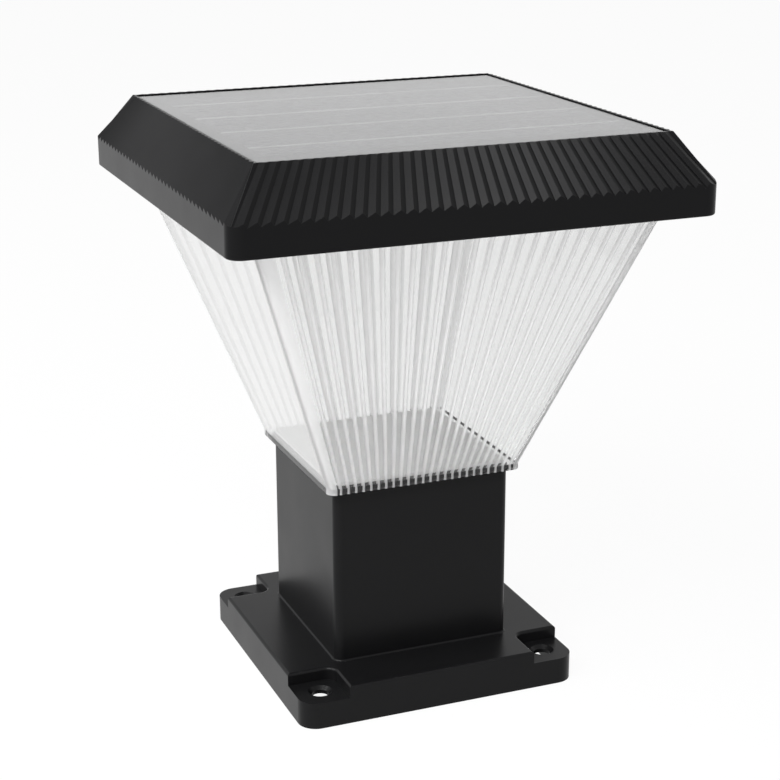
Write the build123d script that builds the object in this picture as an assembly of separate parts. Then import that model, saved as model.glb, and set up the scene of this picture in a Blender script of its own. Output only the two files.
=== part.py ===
from build123d import *
import math
import os

# Solar pillar light, millimetres. +Z is up and the origin is the middle of the
# flange's underside. The front faces -Y.

# Pedestal
FLANGE_SIDE = 125.0
FLANGE_HEIGHT = 16.8
FLANGE_CORNER = 8.0
FLANGE_EDGE = 1.2
FLANGE_TOP_WALL = 3.2
FLANGE_SIDE_WALL = 3.0
POST_SIDE = 79.2
POST_TOP = 94.0
POST_CORNER = 3.5
POST_WALL = 2.8
POST_TOP_WALL = 3.6
POST_FOOT_FILLET = 0.9
POCKET_DEPTH = 5.3
POCKET_LEDGE = 2.7
POCKET_CORNER = 4.5
POCKET_FLOOR = 3.0
BOLT_INWARD = 0.9
BOLT_HOLE_RADIUS = 3.5
BOLT_SINK_RADIUS = 5.1
BOLT_SINK_DEPTH = 1.4
STIFFENER_WIDTH = 2.0
STIFFENER_SPACING = 44.0
POST_BOSS_RADIUS = 5.0
POST_BOSS_LENGTH = 14.0
POST_BOSS_END = 1.0
POST_SCREW_INSET = 11.6
SEAL_WIDTH = 5.0
SEAL_THICKNESS = 1.0
SEAL_INSET = 3.4

# Lens
LENS_LIP = 2.5
LENS_OVERHANG = 3.85
LENS_HEIGHT = 117.5
LENS_MOUTH_INSET = 14.0
LENS_BOTTOM_CORNER = 3.6
LENS_MOUTH_CORNER = 6.6
LENS_WALL = 2.2
LENS_FLOOR = 2.5
RIDGES_PER_SIDE = 24
RIDGE_WIDTH_SHARE = 0.32
RIDGE_HEIGHT_SHARE = 0.07
LENS_FLANGE_LEDGE = 3.0
LENS_FLANGE_CORNER = 6.0
LENS_FLANGE = 2.5
LENS_EAR_RADIUS = 4.0
LENS_EAR_REACH = 3.4
LENS_EAR_SPACING = 90.0

# Floor plate inside the lens
FLOOR_PLATE = 1.2
FLOOR_PLATE_GAP = 3.0
FLOOR_PLATE_CORNER = 2.5

# Cap housing
CAP_SIDE = 200.0
CAP_LAP = 0.9
SKIRT_HEIGHT = 12.6
ROOF_RUN = 14.45
CAP_CORNER = 6.0
CAP_BOTTOM_EDGE = 0.8
CAP_WALL = 2.2
SLOPE_WALL = 2.5
ROOF_INNER_CORNER = 1.9
RECESS_CORNER = 1.0
RIBS_PER_SIDE = 40
RIB_RISE = 0.67
RIB_FLATNESS = 0.0001
RIM_WIDTH = 1.0
PANEL_DROP = 0.45
ROOF_SEAT_WALL = 2.0
CAP_BOSS_RADIUS = 3.5
CAP_BOSS_INSET = 6.7
CAP_BOSS_WEB = 2.0
CAP_BOSS_HOLE = 8.0

# Solar panel
PANEL_GAP = 0.3
PANEL_CORNER = 0.8
PANEL_COVER = 1.0
COVER_RIM = 1.0
COVER_GAP = 0.1
CELL_THICKNESS = 0.3
BACKSHEET = 1.7
ADHESIVE = 0.5
ADHESIVE_WIDTH = 6.0
ADHESIVE_INSET = 2.0
ADHESIVE_CORNER = 2.0
CELL_STRIPS = 4
CELL_GAP = 1.0
CELL_END_MARGIN = 7.25
CELL_SIDE_MARGIN = 14.25
RIBBON_WIDTH = 1.5
RIBBON_THICKNESS = 0.2
RIBBON_TAIL = 3.0
JUNCTION = (12.0, 8.0, 3.0)
JUNCTION_X = -50.0
JUNCTION_GAP = 0.4

# Cap base plate
BASE_PLATE = 2.0
BASE_PLATE_GAP = 0.3
BASE_PLATE_CORNER = 3.5
BASE_BOSS_RADIUS = 3.4
BASE_BOSS_HEIGHT = 4.5
BASE_BOSS_END = 0.5
GASKET_INSET = 1.7
GASKET_WIDTH = 1.6
GASKET_THICKNESS = 0.8

# LED tray, board and chips
TRAY_GAP = 1.55
TRAY_PLATE = 1.6
TRAY_RIM_HEIGHT = 6.0
TRAY_RIM_WALL = 1.5
TRAY_CORNER = 6.0
TRAY_SCREW_SPACING = 120.0
LED_BOARD_SIDE = 70.0
LED_BOARD = 1.6
LED_BOARD_CORNER = 3.0
LED_ROWS = 6
LED_PITCH = 10.0
LED_CHIP = (3.5, 2.8, 0.8)
LED_SCREW_INSET = 4.0

# Screws: shank radius, head radius, head height
SMALL_SHANK = 1.2
SMALL_HEAD_RADIUS = 2.3
SMALL_HEAD = 1.5
MEDIUM_SHANK = 1.45
MEDIUM_HEAD_RADIUS = 2.8
MEDIUM_HEAD = 1.7
LARGE_SHANK = 1.95
LARGE_HEAD_RADIUS = 3.8
LARGE_HEAD = 1.9
SCREW_GAP = 0.15
HEAD_ROUND_SHARE = 0.4
SLOT_SHARE = 0.55
SLOT_WIDTH_SHARE = 0.25
POST_SCREW = 14.0
LENS_SCREW = 8.0
TRAY_SCREW = 7.0
CAP_SCREW = 9.0
BOARD_SCREW = 5.0
LED_SCREW = 3.0

# Battery
CELL_RADIUS = 9.2
CELL_LENGTH = 65.2
BATTERY_SPACE = 1.0
HOLDER_FLOOR = 0.8
HOLDER_WALL = 1.4
HOLDER_HEIGHT = 12.0
HOLDER_GAP = 0.15
CONTACT = 0.9
CONTACT_WIDTH = 9.0
CONTACT_HEIGHT = 8.0
CONTACT_TAB = 1.6
CONTACT_GAP = 0.2
CELL_EDGE = 0.6
PAD_WIDTH = 6.0
PAD_LENGTH = 50.0
PAD_THICKNESS = 1.1

# Control board
BOARD_LENGTH = 52.0
BOARD_WIDTH = 34.0
BOARD = 1.6
BOARD_GAP = 12.55
BOARD_POST = 4.0
BOARD_POST_RADIUS = 2.8
BOARD_HOLE_INSET = 3.5
CHIP = (5.0, 4.0, 1.6)
CHIP_PLACE = 9.0
CHIP_EDGE = 0.2
COIL_PLACE = (-11.0, 9.0)
CAN_PLACE = (-11.0, -9.5)
COIL_EDGE = 0.6
CAN_EDGE = 0.5
INDUCTOR_RADIUS = 4.5
INDUCTOR_HEIGHT = 5.0
CAPACITOR_RADIUS = 3.15
CAPACITOR_HEIGHT = 8.0
SOCKET = (6.0, 7.6, 6.0)
SOCKET_INSET = 1.0

# Switch in the cap's back right corner
SWITCH_INSET = 9.0
SWITCH_SIZE = 7.0
SWITCH_HEIGHT = 8.2
BEZEL_RADIUS = 4.4
BEZEL_FLANGE = 1.0
BEZEL_NECK_RADIUS = 3.9
BEZEL_EDGE = 0.4
BEZEL_GAP = 0.1
BUTTON_RADIUS = 2.9
BUTTON_CLEARANCE = 0.3
BUTTON_PROUD = 1.7
BUTTON_HEIGHT = 2.7
BUTTON_EDGE = 0.6
BUTTON_TRAVEL = 1.5
BUTTON_STEM_RADIUS = 1.2
BUTTON_STEM = 4.6
SEAL_RING = 0.6
SEAL_RING_GAP = 0.2

# Leads
LEAD_RADIUS = 0.8
LEAD_BEND = 3.0
LEAD_PAIR = 3.0
LEAD_LEVEL = 7.0
LEAD_HOLE_GAP = 0.3
LED_LEAD_GAP = 6.55
BATTERY_LEAD_REACH = 10.0
SWITCH_LEAD_TURN = 12.0
SWITCH_LEAD_DROP = 8.0
SWITCH_LEAD_BEND = 1.6

# Cutters run past a face by this much
THROUGH = 1.0

# Worked out from the sizes above
POCKET_LEVEL = FLANGE_HEIGHT - POCKET_DEPTH
POCKET_SIDE = (FLANGE_SIDE - POST_SIDE) / 2 - POCKET_LEDGE
BOLT_SPACING = FLANGE_SIDE - POCKET_SIDE - 2 * BOLT_INWARD
POST_SCREW_SPACING = POST_SIDE - 2 * POST_SCREW_INSET
LENS_WALL_START = POST_TOP + LENS_LIP
LENS_BOTTOM_SIDE = POST_SIDE + 2 * LENS_OVERHANG
LENS_MOUTH_SIDE = CAP_SIDE - 2 * LENS_MOUTH_INSET
LENS_FLANGE_SIDE = LENS_MOUTH_SIDE + 2 * LENS_FLANGE_LEDGE
LENS_EAR_OFFSET = LENS_FLANGE_SIDE / 2 + LENS_EAR_REACH
LENS_MOUTH = POST_TOP + LENS_HEIGHT
LENS_TOP = LENS_MOUTH + LENS_FLANGE
FLOOR_LEVEL = POST_TOP + LENS_FLOOR
BASE_LEVEL = LENS_TOP
DECK = BASE_LEVEL + BASE_PLATE
CELL_AXIS = DECK + HOLDER_FLOOR + HOLDER_GAP + CELL_RADIUS
ROOF_UNDERSIDE = CELL_AXIS + CELL_RADIUS + PAD_THICKNESS
SEAT = ROOF_UNDERSIDE + ROOF_SEAT_WALL
BACKSHEET_LEVEL = SEAT + ADHESIVE + BACKSHEET
CELL_LEVEL = BACKSHEET_LEVEL + CELL_THICKNESS
PANEL_LEVEL = CELL_LEVEL + PANEL_COVER
CAP_BOTTOM = LENS_MOUTH - CAP_LAP
SKIRT_TOP = CAP_BOTTOM + SKIRT_HEIGHT
CAP_TOP = PANEL_LEVEL + PANEL_DROP
CAP_TOP_SIDE = CAP_SIDE - 2 * ROOF_RUN
CAP_BOSS_OFFSET = CAP_SIDE / 2 - CAP_BOSS_INSET
SLOPE = ROOF_RUN / (CAP_TOP - SKIRT_TOP)
SLOPE_START = SKIRT_TOP - 2 * RIB_RISE / SLOPE
RECESS_SIDE = CAP_TOP_SIDE - 2 * RIM_WIDTH
PANEL_SIDE = RECESS_SIDE - 2 * PANEL_GAP
CELL_STRIP = PANEL_SIDE - 2 * CELL_END_MARGIN
CELL_PITCH = (PANEL_SIDE - 2 * CELL_SIDE_MARGIN) / CELL_STRIPS
CAP_INNER_SIDE = CAP_SIDE - 2 * CAP_WALL
BASE_PLATE_SIDE = CAP_INNER_SIDE - 2 * BASE_PLATE_GAP
LENS_SLOPE = (LENS_MOUTH_SIDE - LENS_BOTTOM_SIDE) / 2 / (LENS_MOUTH - LENS_WALL_START)
LENS_WALL_ACROSS = LENS_WALL * math.hypot(1, LENS_SLOPE)
LENS_FLOOR_SIDE = (
    LENS_BOTTOM_SIDE - 2 * (LENS_WALL_START - FLOOR_LEVEL) * LENS_SLOPE - 2 * LENS_WALL_ACROSS
)
LENS_TOP_INSIDE = LENS_MOUTH_SIDE + 2 * LENS_FLANGE * LENS_SLOPE - 2 * LENS_WALL_ACROSS
SMALL_HOLE = SMALL_SHANK + SCREW_GAP
MEDIUM_HOLE = MEDIUM_SHANK + SCREW_GAP
LARGE_HOLE = LARGE_SHANK + SCREW_GAP
BOSS_HOLE_TOP = BASE_LEVEL + BASE_PLATE + BASE_BOSS_HEIGHT - BASE_BOSS_END
TRAY_LEVEL = BASE_LEVEL - TRAY_PLATE
TRAY_LOW = TRAY_LEVEL - TRAY_RIM_HEIGHT
TRAY_SIDE = LENS_TOP_INSIDE - 2 * (LENS_TOP - TRAY_LOW) * LENS_SLOPE - 2 * TRAY_GAP
GASKET_SIDE = LENS_FLANGE_SIDE - 2 * GASKET_INSET
LED_BOARD_LEVEL = TRAY_LEVEL - LED_BOARD
LED_SCREW_SPACING = LED_BOARD_SIDE - 2 * LED_SCREW_INSET
BATTERY_PITCH = 2 * CELL_RADIUS + BATTERY_SPACE
HOLDER_WIDTH = BATTERY_PITCH + 2 * (CELL_RADIUS + HOLDER_GAP + HOLDER_WALL)
LED_LEAD_PLACE = HOLDER_WIDTH / 2 + LED_LEAD_GAP
BOARD_CENTRE_Y = HOLDER_WIDTH / 2 + BOARD_GAP + BOARD_WIDTH / 2
JUNCTION_PLACE = (JUNCTION_X, BOARD_CENTRE_Y)
BOARD_LEVEL = DECK + BOARD_POST
BOARD_TOP = BOARD_LEVEL + BOARD
WIRE_LEVEL = DECK + LEAD_LEVEL
CONTACT_FACE = CELL_LENGTH / 2 + CONTACT
HOLDER_END = CONTACT_FACE + HOLDER_WALL
TAB_END = HOLDER_END + CONTACT_TAB
SOCKET_X = (BOARD_LENGTH - SOCKET[0]) / 2 - SOCKET_INSET
SOCKET_Y = (BOARD_WIDTH - SOCKET[0]) / 2 - SOCKET_INSET
SWITCH_PLACE = CAP_SIDE / 2 - SWITCH_INSET
SWITCH_POINT = (SWITCH_PLACE, SWITCH_PLACE)

os.makedirs("parts", exist_ok=True)


def save(node, shape):
    shape.label = node
    export_step(shape, "parts/" + node + ".step")


def slab(side, low, high, corner):
    """Flat square block with rounded upright edges, from low to high."""
    return Pos(0, 0, low) * extrude(RectangleRounded(side, side, corner), high - low)


def hollow(side, low, high, corner):
    """The same block as a cutter that runs past both of its faces."""
    return slab(side, low - THROUGH, high + THROUGH, corner)


def frustum(low_side, low, low_corner, high_side, high, high_corner):
    """Rounded square that grows or shrinks evenly from low to high."""
    low_plan = Pos(0, 0, low) * RectangleRounded(low_side, low_side, low_corner)
    high_plan = Pos(0, 0, high) * RectangleRounded(high_side, high_side, high_corner)
    return loft([low_plan, high_plan], ruled=True)


def rod(place, low, high, radius):
    """Upright cylinder from low to high."""
    return Pos(*place, (low + high) / 2) * Cylinder(radius, high - low)


def hole(place, low, high, radius):
    """Upright cutter that runs past both ends."""
    return rod(place, low - THROUGH, high + THROUGH, radius)


def block(place, low, size):
    """Plain block that stands on low."""
    return Pos(*place, low + size[2] / 2) * Box(*size)


def group(solids):
    """Separate solids that share one node."""
    return Compound(children=list(solids))


def square_places(spacing):
    half = spacing / 2
    return [(-half, -half), (half, -half), (half, half), (-half, half)]


def mid_places(offset):
    return [(0, -offset), (offset, 0), (0, offset), (-offset, 0)]


def side_places(offset, spacing):
    """Two places along each of the four sides."""
    half = spacing / 2
    along_x = [(x, y) for y in (-offset, offset) for x in (-half, half)]
    return along_x + [(y, x) for x, y in along_x]


def moved_in(place, step):
    """The same place, nearer the middle by step across its own side."""
    x, y = place
    if abs(y) > abs(x):
        return x, y - step * math.copysign(1, y)
    return x - step * math.copysign(1, x), y


def across(place, wide, deep):
    """Plan size of a block: wide along its side and deep across it."""
    return (wide, deep) if abs(place[1]) > abs(place[0]) else (deep, wide)


def cross_slot(place, face, head, head_radius):
    """Crossed driver slot in a screw head."""
    long = 2 * head_radius * SLOT_SHARE
    thin = long * SLOT_WIDTH_SHARE
    return Pos(*place, face) * (Box(long, thin, head) + Box(thin, long, head))


def hanging_screw(place, level, length, shank, head_radius, head):
    """Screw with its head under level and its shank going up."""
    body = rod(place, level - head, level, head_radius)
    body = fillet(body.edges().group_by(Axis.Z)[0], head * HEAD_ROUND_SHARE)
    body += rod(place, level, level + length, shank)
    return body - cross_slot(place, level - head, head, head_radius)


def standing_screw(place, level, length, shank, head_radius, head):
    """Screw with its head on level and its shank going down."""
    body = rod(place, level, level + head, head_radius)
    body = fillet(body.edges().group_by(Axis.Z)[-1], head * HEAD_ROUND_SHARE)
    body += rod(place, level - length, level, shank)
    return body - cross_slot(place, level + head, head, head_radius)


def sunk_cone(place, level, gap=0.0):
    """Cone of a flat screw head whose top is at level, or its seat with a gap."""
    return Pos(*place, level - LARGE_HEAD / 2) * Cone(LARGE_SHANK + gap, LARGE_HEAD_RADIUS + gap, LARGE_HEAD)


def lead(points, bend=LEAD_BEND):
    """Round wire along straight runs with tangent bends."""
    path = FilletPolyline(*points, radius=bend)
    start = Plane(origin=path @ 0, z_dir=path % 0)
    return sweep(start * Circle(LEAD_RADIUS), path=path)


def flange():
    """Bolt-down flange with four lowered corner pockets."""
    body = slab(FLANGE_SIDE, 0, FLANGE_HEIGHT, FLANGE_CORNER)
    notch = extrude(Rectangle(2 * POCKET_SIDE, 2 * POCKET_SIDE), 2 * POCKET_DEPTH)
    notch = fillet(notch.edges().filter_by(Axis.Z), POCKET_CORNER)
    for place in square_places(FLANGE_SIDE):
        body -= Pos(*place, POCKET_LEVEL) * notch
    return fillet(body.edges().group_by(Axis.Z)[-1], FLANGE_EDGE)


def flange_hollow():
    """Space under the flange between the post and the flange's side walls."""
    inside = FLANGE_SIDE - 2 * FLANGE_SIDE_WALL
    space = slab(inside, -THROUGH, FLANGE_HEIGHT - FLANGE_TOP_WALL, FLANGE_CORNER - FLANGE_SIDE_WALL)
    space -= hollow(POST_SIDE, -THROUGH, FLANGE_HEIGHT, POST_CORNER)
    thick = POCKET_SIDE + 2 * FLANGE_SIDE_WALL
    for place in square_places(FLANGE_SIDE - POCKET_SIDE):
        space -= block(place, POCKET_LEVEL - POCKET_FLOOR, (thick, thick, FLANGE_HEIGHT))
    reach = (FLANGE_SIDE - POST_SIDE) / 2
    middle = (FLANGE_SIDE + POST_SIDE) / 4
    for place in side_places(middle, STIFFENER_SPACING) + mid_places(middle):
        size = across(place, STIFFENER_WIDTH, reach)
        space -= block(place, -2 * THROUGH, (*size, FLANGE_HEIGHT + 2 * THROUGH))
    return space


def seal_ring(low, high):
    outer = POST_SIDE - 2 * SEAL_INSET
    return slab(outer, low, high, POST_CORNER) - hollow(outer - 2 * SEAL_WIDTH, low, high, POST_CORNER)


def post_base():
    """Pedestal: hollow post and bolt-down flange in one moulding."""
    body = flange() + slab(POST_SIDE, 0, POST_TOP, POST_CORNER)
    foot = [
        edge
        for edge in body.edges().filter_by(lambda e: abs(e.center().Z - FLANGE_HEIGHT) < SCREW_GAP)
        if max(abs(edge.center().X), abs(edge.center().Y)) < POST_SIDE / 2 + SCREW_GAP
    ]
    body = fillet(foot, POST_FOOT_FILLET)
    body -= slab(POST_SIDE - 2 * POST_WALL, -THROUGH, POST_TOP - POST_TOP_WALL, POST_CORNER / 2)
    body -= flange_hollow()
    for place in square_places(BOLT_SPACING):
        body -= hole(place, 0, FLANGE_HEIGHT, BOLT_HOLE_RADIUS)
        sink = Cone(BOLT_HOLE_RADIUS, BOLT_SINK_RADIUS, BOLT_SINK_DEPTH)
        body -= Pos(*place, POCKET_LEVEL - BOLT_SINK_DEPTH / 2) * sink
    boss_level = POST_TOP - POST_BOSS_LENGTH
    for place in square_places(POST_SCREW_SPACING):
        body += rod(place, boss_level, POST_TOP - POST_TOP_WALL, POST_BOSS_RADIUS)
        body -= rod(place, boss_level + POST_BOSS_END, POST_TOP + THROUGH, LARGE_HOLE)
    return body - seal_ring(POST_TOP - SEAL_THICKNESS, POST_TOP + THROUGH)


def ridged_outline(half, corner, level):
    """Lens outline at one level: narrow keen ridges on the front and back, plain sides."""
    straight = half - corner
    pitch = 2 * straight / RIDGES_PER_SIDE
    crest = half + pitch * RIDGE_HEIGHT_SHARE
    reach = pitch * RIDGE_WIDTH_SHARE / 2
    bend = half - corner + corner * math.sqrt(0.5)
    edges = []
    for side in (-1, 1):
        near = side * half
        far = side * straight
        last = -far
        for k in range(RIDGES_PER_SIDE):
            middle = side * ((k + 1 / 2) * pitch - straight)
            start = middle - side * reach
            end = middle + side * reach
            top = (middle, side * crest, level)
            edges.append(Line((last, near, level), (start, near, level)))
            edges.append(Line((start, near, level), top))
            edges.append(Line(top, (end, near, level)))
            last = end
        edges.append(Line((last, near, level), (far, near, level)))
        bend_in = (side * bend, side * bend, level)
        bend_out = (side * bend, -side * bend, level)
        edges.append(ThreePointArc((far, near, level), bend_in, (near, far, level)))
        edges.append(Line((near, far, level), (near, -far, level)))
        edges.append(ThreePointArc((near, -far, level), bend_out, (far, -near, level)))
    return edges


def lens():
    """Clear inverted pyramid with a floor, a lip below and a flange above."""
    foot = make_face(ridged_outline(LENS_BOTTOM_SIDE / 2, LENS_BOTTOM_CORNER, POST_TOP))
    low = make_face(ridged_outline(LENS_BOTTOM_SIDE / 2, LENS_BOTTOM_CORNER, LENS_WALL_START))
    high = make_face(ridged_outline(LENS_MOUTH_SIDE / 2, LENS_MOUTH_CORNER, LENS_MOUTH))
    body = loft([low, high], ruled=True)
    body += loft([foot, low], ruled=True)
    body += slab(LENS_FLANGE_SIDE, LENS_MOUTH, LENS_TOP, LENS_FLANGE_CORNER)
    for place in lens_ears():
        inner = moved_in(place, LENS_EAR_RADIUS / 2)
        size = across(place, 2 * LENS_EAR_RADIUS, LENS_EAR_RADIUS)
        body += rod(place, LENS_MOUTH, LENS_TOP, LENS_EAR_RADIUS)
        body += block(inner, LENS_MOUTH, (*size, LENS_FLANGE))
    floor_corner = LENS_BOTTOM_CORNER - LENS_WALL
    top_corner = LENS_MOUTH_CORNER - LENS_WALL
    body -= frustum(LENS_FLOOR_SIDE, FLOOR_LEVEL, floor_corner, LENS_TOP_INSIDE, LENS_TOP, top_corner)
    for place in lens_ears():
        body -= hole(place, LENS_MOUTH, LENS_TOP, MEDIUM_HOLE)
    for place in square_places(POST_SCREW_SPACING):
        body -= hole(place, POST_TOP, FLOOR_LEVEL - LARGE_HEAD, LARGE_HOLE)
        body -= sunk_cone(place, FLOOR_LEVEL, SCREW_GAP)
    return body


def lens_ears():
    return side_places(LENS_EAR_OFFSET, LENS_EAR_SPACING)


def floor_plate():
    """Pale plate that lies on the lens floor and hides the screws."""
    side = LENS_FLOOR_SIDE - 2 * FLOOR_PLATE_GAP
    return slab(side, FLOOR_LEVEL, FLOOR_LEVEL + FLOOR_PLATE, FLOOR_PLATE_CORNER)


def rib_ring(half, corner, rise, level):
    """Zigzag outline at one level: a ridge and a groove for each rib."""
    points = []
    steps = 2 * RIBS_PER_SIDE
    bend_start = half - corner
    bend_middle = bend_start + corner * math.sqrt(0.5)
    for quarter in range(4):
        turn = math.radians(90 * quarter)
        for k in range(steps):
            along = -half + 2 * half * k / steps
            past = max(abs(along) - bend_start, 0)
            out = bend_start + math.sqrt(max(corner**2 - past**2, 0))
            out += rise if k % 2 == 0 else -rise
            if k == 0:
                along, out = -bend_middle, bend_middle
            x = along * math.cos(turn) + out * math.sin(turn)
            y = along * math.sin(turn) - out * math.cos(turn)
            points.append(Vector(x, y, level))
    return points


def ribbed_pyramid():
    """Solid between the rib outline under the skirt's top and the one at the rim."""
    low_half = CAP_SIDE / 2 + (SKIRT_TOP - SLOPE_START) * SLOPE
    low = rib_ring(low_half, CAP_CORNER, RIB_RISE, SLOPE_START)
    high = rib_ring(CAP_TOP_SIDE / 2, 0, RIB_RISE * CAP_TOP_SIDE / 2 / low_half, CAP_TOP)
    faces = [polygon(low), polygon(high)]
    for a, b, c, d in zip(low, low[1:] + low[:1], high[1:] + high[:1], high):
        twist = (b - a).cross(d - a).normalized().dot(c - a)
        flat = abs(twist) < RIB_FLATNESS
        faces += [polygon([a, b, c, d])] if flat else [polygon([a, b, c]), polygon([a, c, d])]
    return Solid(Shell(faces))


def polygon(points):
    return Face(Wire.make_polygon(points, close=True))


def cap_space():
    """Space inside the cap, below the roof seat."""
    slope_across = SLOPE_WALL * math.hypot(1, SLOPE)
    roof_half = CAP_TOP_SIDE / 2 + (CAP_TOP - ROOF_UNDERSIDE) * SLOPE - slope_across
    bend_half = CAP_INNER_SIDE / 2
    bend_level = CAP_TOP - (bend_half + slope_across - CAP_TOP_SIDE / 2) / SLOPE
    corner = CAP_CORNER - CAP_WALL
    space = slab(CAP_INNER_SIDE, CAP_BOTTOM - THROUGH, bend_level, corner)
    space += frustum(CAP_INNER_SIDE, bend_level, corner, 2 * roof_half, ROOF_UNDERSIDE, ROOF_INNER_CORNER)
    reach = CAP_SIDE / 2 - CAP_BOSS_OFFSET
    for place in mid_places(CAP_BOSS_OFFSET):
        size = across(place, CAP_BOSS_WEB, 2 * reach)
        space -= rod(place, DECK, CAP_TOP, CAP_BOSS_RADIUS)
        space -= block(moved_in(place, -reach), DECK, (*size, CAP_TOP - DECK))
    return space


def cap_housing():
    """Black roof with ribbed slopes, skirt and the panel's recess."""
    body = ribbed_pyramid() & slab(CAP_SIDE, CAP_BOTTOM, CAP_TOP, CAP_CORNER)
    body += slab(CAP_SIDE, CAP_BOTTOM, SLOPE_START, CAP_CORNER)
    body = fillet(body.edges().group_by(Axis.Z)[0], CAP_BOTTOM_EDGE)
    body -= slab(RECESS_SIDE, SEAT, CAP_TOP + THROUGH, RECESS_CORNER)
    body -= cap_space()
    length, width, height = JUNCTION
    opening = (length + 2 * JUNCTION_GAP, width + 2 * JUNCTION_GAP, 2 * height)
    body -= block(JUNCTION_PLACE, SEAT - height, opening)
    for place in mid_places(CAP_BOSS_OFFSET):
        body -= rod(place, DECK - THROUGH, DECK + CAP_BOSS_HOLE, MEDIUM_HOLE)
    return body


def strip_rows():
    """Middle lines of the cell strips, front to back."""
    first = -(CELL_STRIPS - 1) / 2 * CELL_PITCH
    return [first + k * CELL_PITCH for k in range(CELL_STRIPS)]


def panel_cells():
    size = (CELL_STRIP, CELL_PITCH - CELL_GAP, CELL_THICKNESS)
    return group(block((0, y), BACKSHEET_LEVEL, size) for y in strip_rows())


def panel_ribbons():
    """Thin metal ribbon along the middle of each cell strip."""
    size = (CELL_STRIP + RIBBON_TAIL, RIBBON_WIDTH, RIBBON_THICKNESS)
    return group(block((RIBBON_TAIL / 2, y), CELL_LEVEL, size) for y in strip_rows())


def panel_cover():
    """Clear face of the panel, hollowed below for the cells and ribbons."""
    cover = slab(PANEL_SIDE, BACKSHEET_LEVEL, PANEL_LEVEL, PANEL_CORNER)
    pocket_top = CELL_LEVEL + RIBBON_THICKNESS + COVER_GAP
    return cover - slab(PANEL_SIDE - 2 * COVER_RIM, BACKSHEET_LEVEL - THROUGH, pocket_top, PANEL_CORNER)


def panel_backsheet():
    return slab(PANEL_SIDE, SEAT + ADHESIVE, BACKSHEET_LEVEL, PANEL_CORNER)


def panel_adhesive():
    outer = PANEL_SIDE - 2 * ADHESIVE_INSET
    bead = slab(outer, SEAT, SEAT + ADHESIVE, ADHESIVE_CORNER)
    return bead - hollow(outer - 2 * ADHESIVE_WIDTH, SEAT, SEAT + ADHESIVE, ADHESIVE_CORNER)


def panel_junction():
    return block(JUNCTION_PLACE, SEAT + ADHESIVE - JUNCTION[2], JUNCTION)


def gasket_ring(low, high):
    ring = slab(GASKET_SIDE, low, high, LENS_FLANGE_CORNER)
    return ring - hollow(GASKET_SIDE - 2 * GASKET_WIDTH, low, high, LENS_FLANGE_CORNER - GASKET_WIDTH)


def board_holes():
    half_x = BOARD_LENGTH / 2 - BOARD_HOLE_INSET
    half_y = BOARD_WIDTH / 2 - BOARD_HOLE_INSET
    return [(x, BOARD_CENTRE_Y + y) for x in (-half_x, half_x) for y in (-half_y, half_y)]


def led_lead_places():
    return [(-LEAD_PAIR / 2, LED_LEAD_PLACE), (LEAD_PAIR / 2, LED_LEAD_PLACE)]


def cap_base():
    """Plate that closes the cap from below and carries what is inside."""
    plate = slab(BASE_PLATE_SIDE, BASE_LEVEL, DECK, BASE_PLATE_CORNER)
    plate -= gasket_ring(BASE_LEVEL - THROUGH, BASE_LEVEL + GASKET_THICKNESS)
    for place in lens_ears() + square_places(TRAY_SCREW_SPACING):
        plate += rod(place, DECK, DECK + BASE_BOSS_HEIGHT, BASE_BOSS_RADIUS)
        plate -= rod(place, BASE_LEVEL - THROUGH, BOSS_HOLE_TOP, MEDIUM_HOLE)
    for place in mid_places(CAP_BOSS_OFFSET):
        plate -= hole(place, BASE_LEVEL, DECK, MEDIUM_HOLE)
    for place in board_holes():
        plate += rod(place, DECK, BOARD_LEVEL, BOARD_POST_RADIUS)
        plate -= hole(place, DECK, BOARD_LEVEL, SMALL_HOLE)
    for place in led_lead_places():
        plate -= hole(place, BASE_LEVEL, DECK, LEAD_RADIUS + LEAD_HOLE_GAP)
    plate -= hole(SWITCH_POINT, BASE_LEVEL, DECK, BEZEL_NECK_RADIUS + BEZEL_GAP)
    return plate - rod(SWITCH_POINT, BASE_LEVEL - THROUGH, BASE_LEVEL + SEAL_RING, BEZEL_RADIUS + SEAL_RING_GAP)


def led_tray():
    """White dish under the base plate that throws the light down."""
    tray = slab(TRAY_SIDE, TRAY_LOW, BASE_LEVEL, TRAY_CORNER)
    inside = TRAY_SIDE - 2 * TRAY_RIM_WALL
    tray -= slab(inside, TRAY_LOW - THROUGH, TRAY_LEVEL, TRAY_CORNER - TRAY_RIM_WALL)
    for place in square_places(TRAY_SCREW_SPACING):
        tray -= hole(place, TRAY_LEVEL, BASE_LEVEL, MEDIUM_HOLE)
    for place in square_places(LED_SCREW_SPACING):
        tray -= hole(place, TRAY_LEVEL, BASE_LEVEL, SMALL_HOLE)
    for place in led_lead_places():
        tray -= hole(place, TRAY_LEVEL, BASE_LEVEL, LEAD_RADIUS + LEAD_HOLE_GAP)
    return tray


def led_board():
    board = slab(LED_BOARD_SIDE, LED_BOARD_LEVEL, TRAY_LEVEL, LED_BOARD_CORNER)
    for place in square_places(LED_SCREW_SPACING):
        board -= hole(place, LED_BOARD_LEVEL, TRAY_LEVEL, SMALL_HOLE)
    return board


def led_chips():
    first = -(LED_ROWS - 1) / 2 * LED_PITCH
    steps = [first + k * LED_PITCH for k in range(LED_ROWS)]
    level = LED_BOARD_LEVEL - LED_CHIP[2]
    return group(block((x, y), level, LED_CHIP) for x in steps for y in steps)


def battery_rows():
    return (-BATTERY_PITCH / 2, BATTERY_PITCH / 2)


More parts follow.
